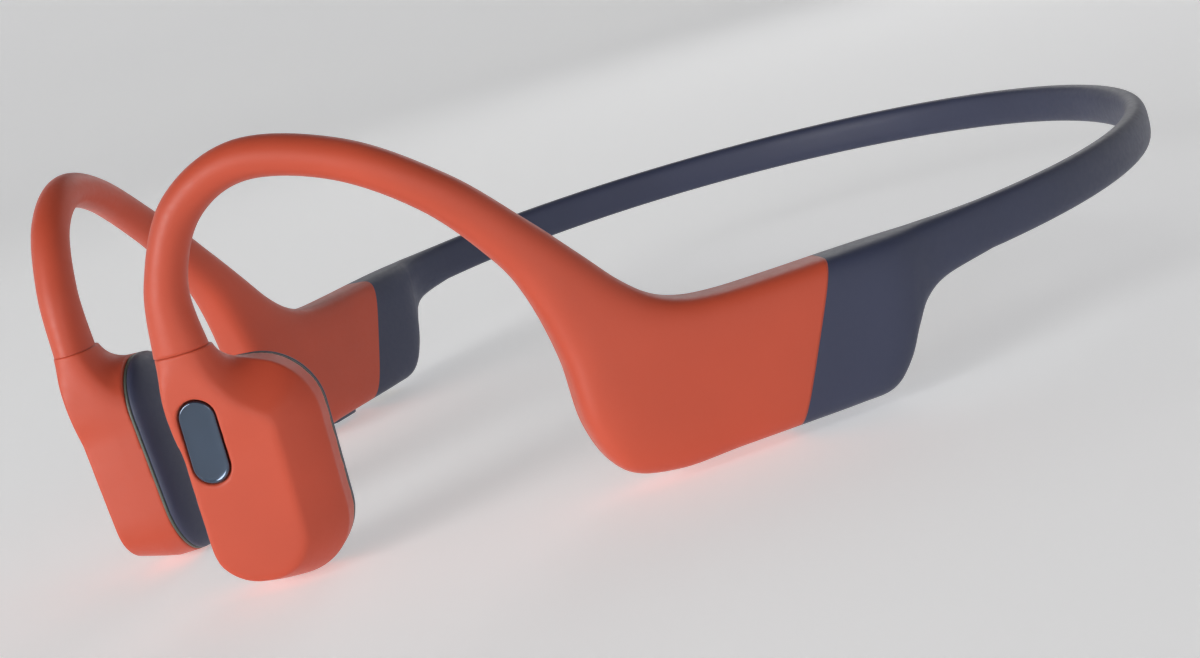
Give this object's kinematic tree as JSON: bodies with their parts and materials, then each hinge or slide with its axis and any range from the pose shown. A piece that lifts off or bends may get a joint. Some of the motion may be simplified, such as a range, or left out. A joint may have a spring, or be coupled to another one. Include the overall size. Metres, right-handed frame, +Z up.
{
  "type": "bone conduction headphones",
  "caption": "Open-ear bone conduction headphones: sprung rear neckband, ear hooks, two housings, transducers with skin pads, and buttons.",
  "frame": {"origin": "centre of the bounding box's footprint, at the lowest point of the transducers", "axes": "+Z up as worn, +Y from the face towards the back of the neckband, +X the wearer's left"},
  "size_m": [0.1066, 0.1332, 0.0425],
  "materials": {
    "coral_silicone": "matte soft-touch silicone",
    "navy_silicone": "matte soft-touch silicone",
    "gasket_grey": "satin",
    "glossy_blue": "polished, slightly metallic",
    "black_plastic": "fine moulded texture",
    "black_rubber": "matte",
    "titanium_wire": "drawn wire",
    "spring_steel": "satin",
    "nickel_iron": "nickel plated",
    "copper_coil": "enamelled winding",
    "gold_contact": "polished",
    "circuit_board": "solder mask",
    "battery_foil": "satin foil",
    "ceramic": "glazed"
  },
  "bodies": {
    "left_side": {"left_arm_cover": "coral_silicone", "left_rear_cap": "navy_silicone", "left_hook_wire": "titanium_wire", "left_hook_ferrule": "spring_steel", "left_band_ferrule": "spring_steel", "left_housing_tray": "black_plastic", "left_transducer_shell": "coral_silicone", "left_pad_gasket": "gasket_grey", "left_skin_pad": "navy_silicone", "left_pad_plate": "black_plastic", "left_driver_frame": "black_plastic", "left_voice_coil": "copper_coil", "left_spring_plate": "spring_steel", "neckband_sleeve": "navy_silicone", "neckband_wire": "titanium_wire", "neckband_cable": "black_rubber", "button_switch": "spring_steel", "button_seal": "black_rubber", "button_board": "circuit_board", "battery_cell": "battery_foil", "battery_board": "circuit_board"},
    "right_side": {"right_arm_cover": "coral_silicone", "right_rear_cap": "navy_silicone", "right_hook_wire": "titanium_wire", "right_hook_ferrule": "spring_steel", "right_band_ferrule": "spring_steel", "right_housing_tray": "black_plastic", "right_transducer_shell": "coral_silicone", "right_pad_gasket": "gasket_grey", "right_skin_pad": "navy_silicone", "right_pad_plate": "black_plastic", "right_driver_frame": "black_plastic", "right_voice_coil": "copper_coil", "right_spring_plate": "spring_steel", "main_board": "circuit_board", "bluetooth_chip": "spring_steel", "antenna": "ceramic", "microphones": "gold_contact", "volume_bezel": "black_plastic", "volume_switches": "spring_steel", "volume_board": "circuit_board", "charging_port": "black_plastic", "charging_contacts": "gold_contact", "charging_magnet": "nickel_iron"},
    "multifunction_button": {"multifunction_button": "glossy_blue"},
    "volume_up_button": {"volume_up_button": "glossy_blue"},
    "volume_down_button": {"volume_down_button": "glossy_blue"},
    "left_magnet_unit": {"left_magnet": "nickel_iron", "left_top_plate": "nickel_iron", "left_yoke": "nickel_iron"},
    "right_magnet_unit": {"right_magnet": "nickel_iron", "right_top_plate": "nickel_iron", "right_yoke": "nickel_iron"}
  },
  "joints": [
    {"name": "neckband_flex", "type": "hinge", "parent": "left_side", "child": "right_side", "pos_m": [0, 0.0653, 0.0133], "axis": [0, 0, -1], "range_deg": [-4, 40], "stiffness_Nm_per_rad": 0.25, "deforming": ["neckband_sleeve", "neckband_wire", "neckband_cable"]},
    {"name": "multifunction_press", "type": "slide", "parent": "left_side", "child": "multifunction_button", "axis": [-0.7035, 0.7086, 0.0557], "range_m": [0, 0.0005], "stiffness_N_per_m": 1800, "springref_m": -0.0002},
    {"name": "volume_up_press", "type": "slide", "parent": "right_side", "child": "volume_up_button", "axis": [0, 0, 1], "range_m": [0, 0.0004], "stiffness_N_per_m": 1800, "springref_m": -0.0002},
    {"name": "volume_down_press", "type": "slide", "parent": "right_side", "child": "volume_down_button", "axis": [0, 0, 1], "range_m": [0, 0.0004], "stiffness_N_per_m": 1800, "springref_m": -0.0002},
    {"name": "left_driver_vibration", "type": "slide", "parent": "left_side", "child": "left_magnet_unit", "axis": [-0.7035, 0.7086, 0.0557], "range_m": [-0.00015, 0.00015], "stiffness_N_per_m": 2500, "deforming": ["left_spring_plate"]},
    {"name": "right_driver_vibration", "type": "slide", "parent": "right_side", "child": "right_magnet_unit", "axis": [0.7035, 0.7086, 0.0557], "range_m": [-0.00015, 0.00015], "stiffness_N_per_m": 2500, "deforming": ["right_spring_plate"]}
  ]
}
